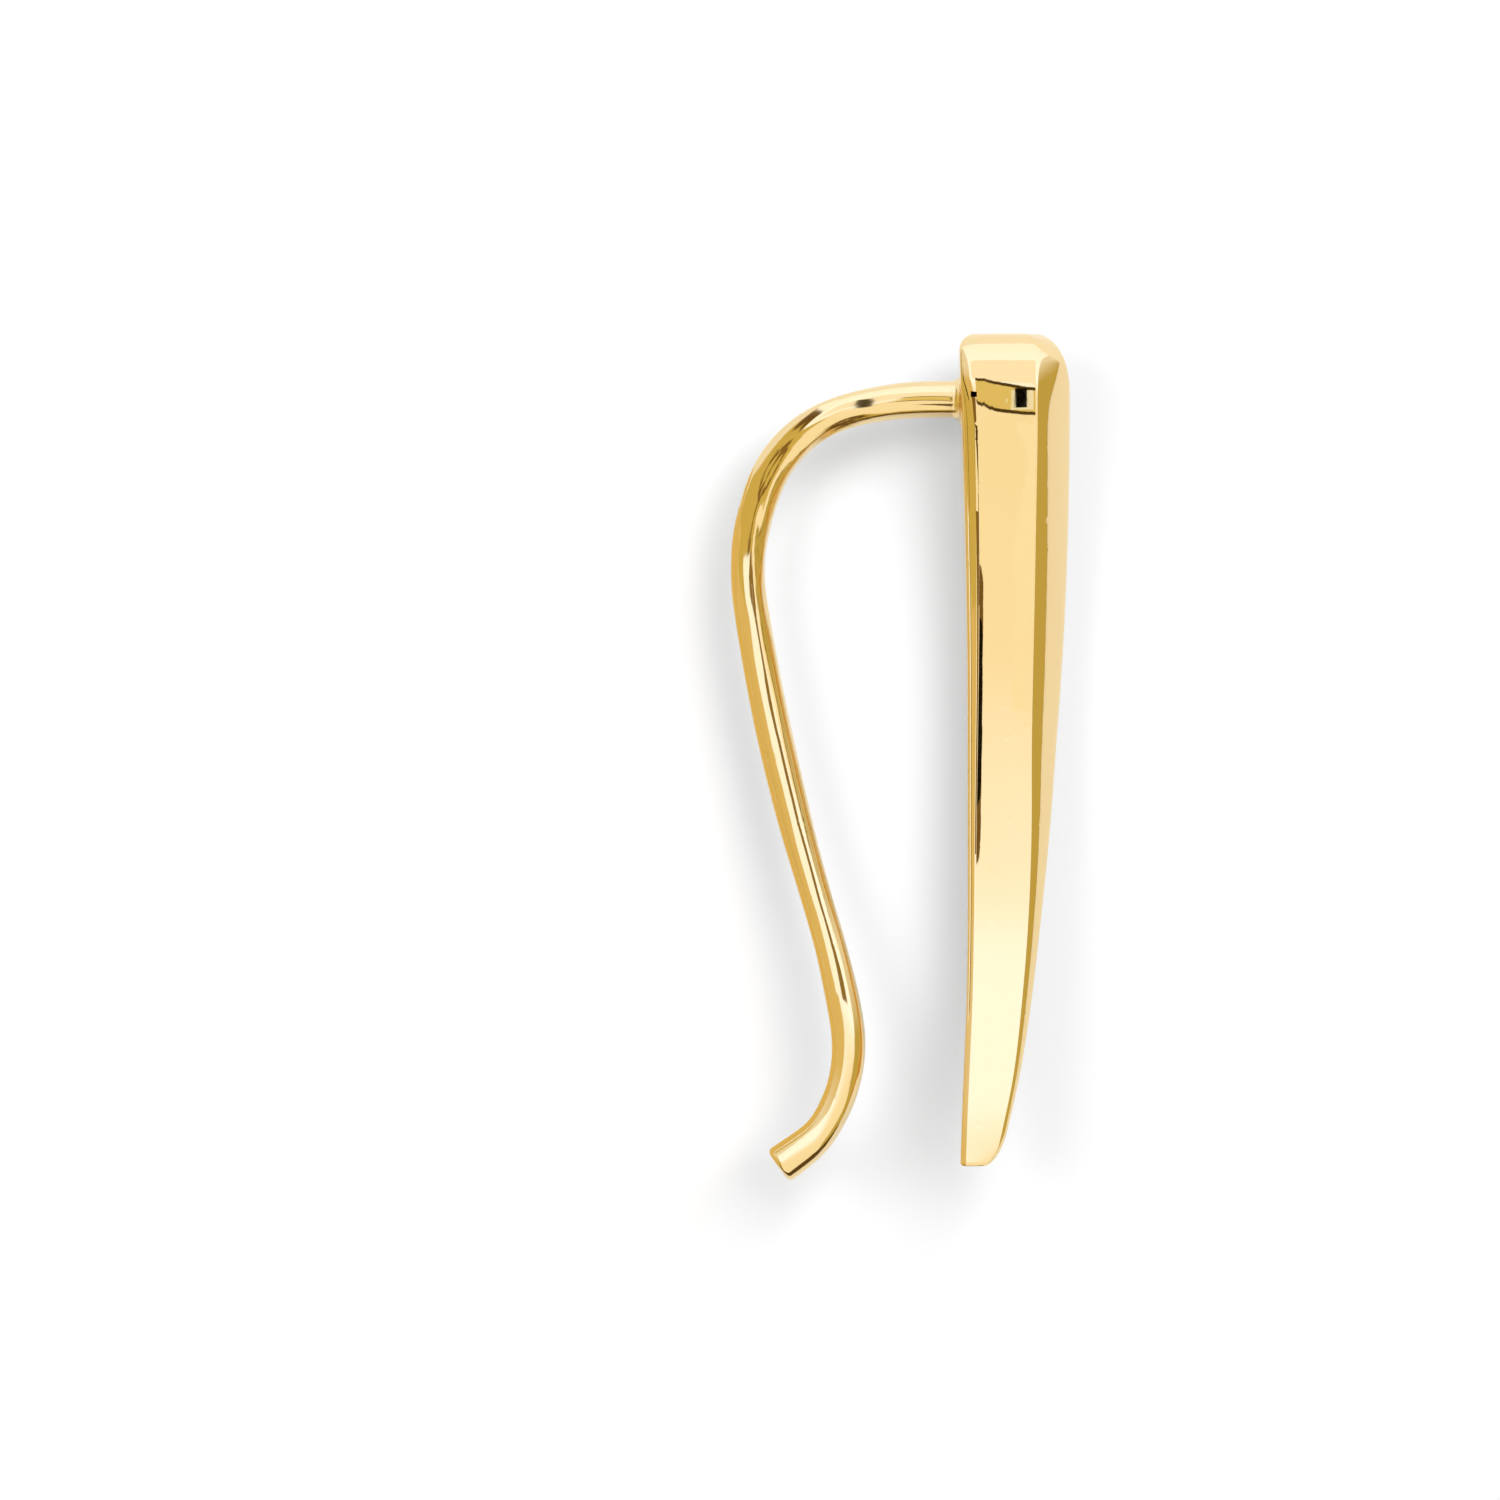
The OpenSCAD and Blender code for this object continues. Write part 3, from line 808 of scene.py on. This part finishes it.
# %% [markdown]
# ## The camera
# The camera hangs straight above and looks down. Small jewellery is taken with a long lens
# from about a hand's length away, so that upright sides hardly show. That is also why the lens
# is so plain to see in the metal, further on.

# %% The camera, straight above
camera_at = (-0.004046, 0.00017, 0.2274)
lens, sensor = 200.0, 36.0
camera_data = bpy.data.cameras.new("camera")
camera_data.lens = lens
camera_data.sensor_width = sensor
camera_data.clip_start = 0.01
camera_data.clip_end = 5.0
camera = bpy.data.objects.new("camera", camera_data)
camera.location = camera_at
bpy.context.scene.collection.objects.link(camera)
bpy.context.scene.camera = camera
print("the picture is", round(camera_at[2] * sensor / lens * 1000, 1), "mm wide at the table")

# %% [markdown]
# ## What the gold mirrors: a glowing tunnel
# A mirror shows everything round it, so polished metal is lit by what it should reflect. Small
# jewellery is shot inside a tent of white cloth, and so is this. The cloth is a half tunnel
# over the climber. Its colour changes from warm cream on the tip side to a cooler white on
# the cap side. The bar's long curve sweeps through both: the broad half mirrors the cream, and
# the tip, which tilts up, mirrors the cooler white. That gives the slow change of colour along
# the hollow side.
#
# A big soft lamp could do the same, but a lamp has one colour. The tunnel is a strip of mesh
# with a colour written at each rib and a shader that glows in that colour. Only mirrors see
# it: it lights no table and throws no shadow.

# %% The tunnel's glow, from the tip side to the cap side
glow = np.array([
    # degrees off the vertical, red, green, blue
    [-70, 1.12, 1.07, 0.93],
    [-25, 1.13, 1.09, 0.95],
    [-5, 1.16, 1.11, 1.01],
    [3, 1.18, 1.18, 1.21],
    [7, 1.22, 1.31, 1.53],
    [11, 1.24, 1.37, 1.71],
    [15, 1.30, 1.50, 2.06],
    [35, 1.31, 1.47, 1.90],
    [90, 1.28, 1.38, 1.70],
])
tunnel_r, tunnel_left, tunnel_right = 0.40, -0.22, 0.42
rib_gap = 2
ribs = np.arange(glow[0, 0], glow[-1, 0] + 1, rib_gap)
print("the tunnel has", len(ribs), "ribs")

# %% The cloth between its ribs
cloth_points, cloth_colours = [], []
for degrees in ribs:
    a = math.radians(degrees)
    colour = [np.interp(degrees, glow[:, 0], glow[:, c]) for c in (1, 2, 3)]
    for x in (tunnel_left, tunnel_right):
        cloth_points.append((x, tunnel_r * math.sin(a), tunnel_r * math.cos(a)))
        cloth_colours.append((*colour, 1))
tunnel = flat_piece(
    "light_tunnel", cloth_points,
    [(k, k + 1, k + 3, k + 2) for k in range(0, len(cloth_points) - 2, 2)],
)
glow_layer = tunnel.data.color_attributes.new("glow", "FLOAT_COLOR", "POINT")
glow_layer.data.foreach_set("color", np.ravel(cloth_colours))
tunnel.visible_camera = tunnel.visible_shadow = tunnel.visible_diffuse = False
tunnel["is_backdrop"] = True
print("the cloth has", len(tunnel.data.polygons), "panels")

# %% A cloth that glows in the colour of its ribs
cloth = bpy.data.materials.new("glowing_cloth")
cloth.use_nodes = True
cloth.node_tree.nodes.clear()
from_ribs = add_node(cloth.node_tree, "ShaderNodeAttribute", attribute_name="glow")
emit = add_node(cloth.node_tree, "ShaderNodeEmission")
surface = add_node(cloth.node_tree, "ShaderNodeOutputMaterial")
cloth.node_tree.links.new(from_ribs.outputs["Color"], emit.inputs["Color"])
cloth.node_tree.links.new(emit.outputs["Emission"], surface.inputs["Surface"])
tunnel.data.materials.append(cloth)
print("the cloth glows through", len(cloth.node_tree.nodes), "nodes")

# %% [markdown]
# ## The lamps over the table
# The shadows need lamps of their own. A key stands high on the right and throws the soft
# shadow to the left, a smaller lamp on the left throws the faint one to the right, and a wide
# fill keeps both pale. The size of a lamp sets how soft its shadow is. The gold doesn't see
# them, so the shadows and the reflections can be set one by one.

# %% Three square lamps that face the climber
lamps = [
    # name, place in m, width in m, watts
    ("key", (0.15, 0.17, 0.42), 0.30, 1.60),
    ("left", (-0.20, 0.05, 0.36), 0.16, 0.50),
    ("fill", (0.0, 0.05, 0.45), 0.90, 1.30),
]
for name, at, width, watts in lamps:
    light = bpy.data.lights.new(name, "AREA")
    light.shape = "SQUARE"
    light.size = width
    light.energy = watts
    lamp = bpy.data.objects.new(name, light)
    lamp.location = at
    lamp.rotation_mode = "QUATERNION"
    lamp.rotation_quaternion = Vector(at).to_track_quat("Z", "Y")
    lamp.visible_camera = lamp.visible_glossy = False
    bpy.context.scene.collection.objects.link(lamp)
    print(name, "is", round(Vector(at).length, 2), "m from the climber")

# %% [markdown]
# ## What the gold mirrors: the cards
# The sharp dark marks in polished gold are reflections too: of the gap in the tent, of the
# lens in that gap, and of the dark room beyond it. They could be painted on the metal, but
# then they would stay put when the piece turns. Here they are cards, as a photographer uses
# them: flat shapes that hang a few millimetres above the part, seen by mirrors only. Low cards
# are seen by little of the metal, so each one makes one mark and leaves the rest alone. To
# place one, follow a line of sight from the camera down to the mark, and on as the metal
# throws it back. The card goes where that line passes its height.
#
# The bar mirrors the lens close under its cap: a black square with a pale rim.

# %% A card, given in mm by its corners and its height, and the two for the lens
cards = []


def card(name, corners, height, colour=(0, 0, 0)):
    points = [(x * MM, y * MM, height * MM) for x, y in corners]
    thing = flat_piece(name, points, [tuple(range(len(points)))])
    material = plain(name, colour=(0, 0, 0), roughness=0.8)
    shader = material.node_tree.nodes["Principled BSDF"]
    shader.inputs["Specular IOR Level"].default_value = 0
    shader.inputs["Emission Color"].default_value = (*colour, 1)
    shader.inputs["Emission Strength"].default_value = 1
    thing.data.materials.append(material)
    for ray in ("camera", "diffuse", "shadow", "transmission"):
        setattr(thing, "visible_" + ray, False)
    thing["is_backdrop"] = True
    cards.append(name)
    return thing


card("lens_card", [(3.02, 10.5), (3.7, 10.5), (3.78, 7.35), (3.1, 7.35)], 11.6)
card("lens_rim", [(2.85, 10.2), (4.5, 10.1), (4.6, 6.9), (2.9, 7.0)], 11.8, (1.05, 1.08, 1.10))
print("cards:", cards)

# %% [markdown]
# The gap that the lens looks through is a gold band across the bar, with a thin dark frame. It
# has a curved upper and lower edge, because the metal that mirrors it is curved. Each edge is
# a smooth curve through a few places, just as the bar's own sizes are. The frame is a larger
# dark card of the same shape, just behind it. Two small cards finish the band's left end.

# %% The gap and its frame
gap_edges = np.array([
    # x, upper edge, lower edge
    [-0.3, 12.25, 8.90],
    [1.3, 12.10, 8.50],
    [1.6, 11.65, 7.90],
    [2.1, 11.25, 7.30],
    [3.0, 10.65, 6.85],
    [3.8, 10.15, 6.55],
    [6.3, 10.10, 6.40],
])
gap_steps = 44
frame_width = 0.62
gap_x = np.linspace(gap_edges[0, 0], gap_edges[-1, 0], gap_steps + 1)
upper, lower = smooth(gap_edges, 1, gap_x), smooth(gap_edges, 2, gap_x)


def band(upper, lower):
    return [*zip(gap_x, upper), *zip(gap_x[::-1], lower[::-1])]


card("gap_card", band(upper, lower), 12.0, (0.88, 0.75, 0.33))
card("gap_frame", band(upper + frame_width, lower - frame_width), 12.2, (0.08, 0.05, 0.01))
card("gap_end", [(1.45, 9.80), (1.95, 9.80), (1.95, 9.62), (1.40, 9.58)], 4.3)
card(
    "gap_tail", [(1.45, 9.60), (1.80, 9.60), (1.81, 8.7), (1.55, 8.6)], 4.31,
    (0.25, 0.15, 0.04),
)
print(len(cards), "cards so far")

# %% [markdown]
# Two pale cards carry on the cloth: one gives the cap its even cream, and one draws a slightly
# brighter strip below the band. Then come the dark ones for the ridge, where the hollow side
# turns into the back. A black card with a wavering edge gives the broken dark line there, a
# brown one behind it gives the line its brown ends, and two more keep the strip beside it
# golden brown.

# %% The cloth beyond the gap
card("cap_veil", [(-14, 37), (18, 37), (14, 12), (0, 16), (-11, 18)], 30.0, (1.19, 1.18, 1.22))
card(
    "bright_seam",
    [(3.3, 4.7), (3.4, 4.2), (4.2, 3.36), (4.75, 2.06), (4.8, 1.6), (8.0, 1.5), (9, 4.7)],
    12.0, (1.16, 1.135, 1.05),
)
print(len(cards), "cards so far")

# %% The dark line down the ridge
card(
    "edge_card",
    [
        (1.98, 3.1), (2.20, 3.1), (2.38, 2.7), (2.36, 2.2), (2.41, 1.7), (2.38, 1.2),
        (2.41, 0.7), (2.36, 0.2), (2.34, -0.3), (2.22, -0.8), (1.98, -1.1),
    ],
    6.0, (0.01, 0.006, 0),
)
card(
    "edge_brown",
    [
        (1.98, 4.6), (2.14, 4.4), (2.36, 3.9), (2.33, 3.4), (2.39, 2.9), (2.36, 2.2),
        (2.30, 0.2), (2.36, -0.4), (2.32, -0.9), (2.34, -1.5), (2.20, -2.3), (1.98, -2.6),
    ],
    6.1, (0.20, 0.12, 0.03),
)
card(
    "brown_card",
    [(0.5, 7.7), (1.66, 7.7), (1.72, 6.6), (1.85, 5.0), (1.96, 3.4), (1.7, 3.4), (1.5, 6.2)],
    6.0, (0.12, 0.07, 0.015),
)
card(
    "edge_shade", [(1.5, -2.5), (1.93, -2.5), (1.93, 6.3), (1.5, 6.3)], 4.0,
    (0.25, 0.16, 0.04),
)
print(len(cards), "cards so far")

# %% [markdown]
# The wire is so thin that it mirrors the whole room in a few narrow lines. Over its arc hangs a
# gold-brown card with three darker ones, which the bending marks break into glints. Over its
# leg hangs a pale card for the long bright line, with a brown edge for the dark line beside
# it. A warm card lies just over the table beside the wire. Only mirrors see it, so it paints a
# golden reflection on the wire's outer side where the white table would show.

# %% The cards over the arc
card(
    "arc_card",
    [
        (-1.2, 3), (-1.8, 8.5), (-4.5, 10.5), (-7, 16), (-16, 32), (-26, 30), (-26, 6),
        (-5, 2.5),
    ],
    8.0, (0.72, 0.58, 0.18),
)
card("arc_dash", [(-2.0, 12.8), (-1.1, 11.1), (-0.75, 8.8), (-1.3, 9.4)], 6.0, (0.05, 0.03, 0))
card(
    "arc_streak", [(-6.8, 13.3), (-16, 29), (-15, 32), (-6, 15.9), (-4.3, 9.7)], 6.0,
    (0.16, 0.09, 0.02),
)
card("arc_brown", [(-4.6, 5), (-3.9, 5), (-4.0, 9.0), (-4.8, 9.5)], 6.1, (0.25, 0.15, 0.03))
print(len(cards), "cards so far")

# %% The cards beside the leg
leg_line = [(-1.6, -6.0), (-1.8, -3.9), (-2.4, -1.2), (-3.1, 1.5), (-3.6, 5.2)]
card(
    "leg_card",
    [(-5.7, 5.2), (-5.2, 1.5), (-4.5, -1.2), (-3.8, -3.9), (-3.3, -6.0)] + leg_line,
    5.0, (1.20, 1.38, 1.72),
)
card(
    "leg_edge",
    leg_line + [(-2.9, 5.2), (-2.2, 1.5), (-1.5, -1.2), (-0.9, -3.9), (-0.7, -6.0)],
    5.0, (0.30, 0.19, 0.04),
)
# Painted reflection: a warm card just over the table, seen only by mirrors, turns the wire's
# outer side golden.
card(
    "warm_card",
    [
        (-70, -40), (-70, 25), (-5.5, 9), (-5.3, 4), (-4.7, -1), (-3.6, -6), (-3.0, -9),
        (-6, -14),
    ],
    0.3, (0.84, 0.64, 0.25),
)
print(len(cards), "cards so far")

# %% [markdown]
# One card stands upright: a low brown wall beyond the tip. The inner side of the wire's arc
# mirrors it as a thin brown line.

# %% The brown wall
wall_left, wall_right, wall_high, wall_y = -30, 40, 11, -32
wall = card(
    "brown_wall",
    [(wall_left, 0), (wall_right, 0), (wall_right, wall_high), (wall_left, wall_high)],
    0, (0.12, 0.07, 0.02),
)
wall.rotation_euler[0] = math.radians(90)
wall.location[1] = wall_y * MM
print("the wall is", wall_high, "mm high")

# %% [markdown]
# ## The dim room
# What is left between the cloth and the table is the room. The flanks of the bar and the
# wire's edges mirror it, so it is a dull gold brown, a little paler on the left and nearly
# white beyond the cap. A picture of a room could go here, but three soft blends of plain
# colours are enough for pieces this small. The table doesn't see the room, so it stays white.

# %% An empty room, and the direction in which a mirror looks
world = bpy.context.scene.world or bpy.data.worlds.new("room")
bpy.context.scene.world = world
world.use_nodes = True
world.cycles_visibility.diffuse = False
room = world.node_tree
towards = add_node(room, "ShaderNodeTexCoord").outputs["Generated"]
split = add_node(room, "ShaderNodeSeparateXYZ")
room.links.new(towards, split.inputs[0])
print("the room has", len(room.nodes), "nodes")

# %% Where its colours change: 0 on one side of each span and 1 on the other
tip_span, side_span, cap_span = (-0.36, -0.15), (-0.6, 0.6), (0.15, 0.50)


def ramp(tree, value, low, high):
    span = add_node(tree, "ShaderNodeMapRange")
    span.inputs["From Min"].default_value = low
    span.inputs["From Max"].default_value = high
    tree.links.new(value, span.inputs["Value"])
    return span.outputs["Result"]


from_tip = ramp(room, split.outputs["Y"], *tip_span)
from_left = ramp(room, split.outputs["X"], *side_span)
to_cap = ramp(room, split.outputs["Y"], *cap_span)
print("the room has", len(room.nodes), "nodes")

# %% Blend its four colours, each a value or a socket
tip_brown, left_gold = (0.62, 0.48, 0.11), (0.85, 0.68, 0.31)
right_brown, cap_white = (0.62, 0.50, 0.15), (0.98, 0.96, 0.92)


def blend(tree, factor, first, second):
    mix = add_node(tree, "ShaderNodeMix", data_type="RGBA")
    tree.links.new(factor, mix.inputs["Factor"])
    colour_ends = [socket for socket in mix.inputs if socket.type == "RGBA"]
    for socket, colour in zip(colour_ends, (first, second)):
        if isinstance(colour, tuple):
            socket.default_value = (*colour, 1)
        else:
            tree.links.new(colour, socket)
    return [socket for socket in mix.outputs if socket.type == "RGBA"][0]


left_side = blend(room, from_tip, tip_brown, left_gold)
near_colour = blend(room, from_left, left_side, right_brown)
round_colour = blend(room, to_cap, near_colour, cap_white)
room.links.new(round_colour, room.nodes["Background"].inputs["Color"])
print("the room has", len(room.nodes), "nodes")

# %% [markdown]
# ## The last step
# White has to stay white, so the picture is shown without a film curve. Then both boxes are
# measured, the part's and the finished model's. The finished one has to lie inside the part's.

# %% Measure, and finish
bpy.context.scene.view_settings.view_transform = "Standard"
final_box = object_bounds()
boxes = [[list(corner) for corner in box] for box in (cad_box, final_box)]
print("measured box and visual box in mm:")
for box in boxes:
    print([[round(v * 1000, 3) for v in corner] for corner in box])
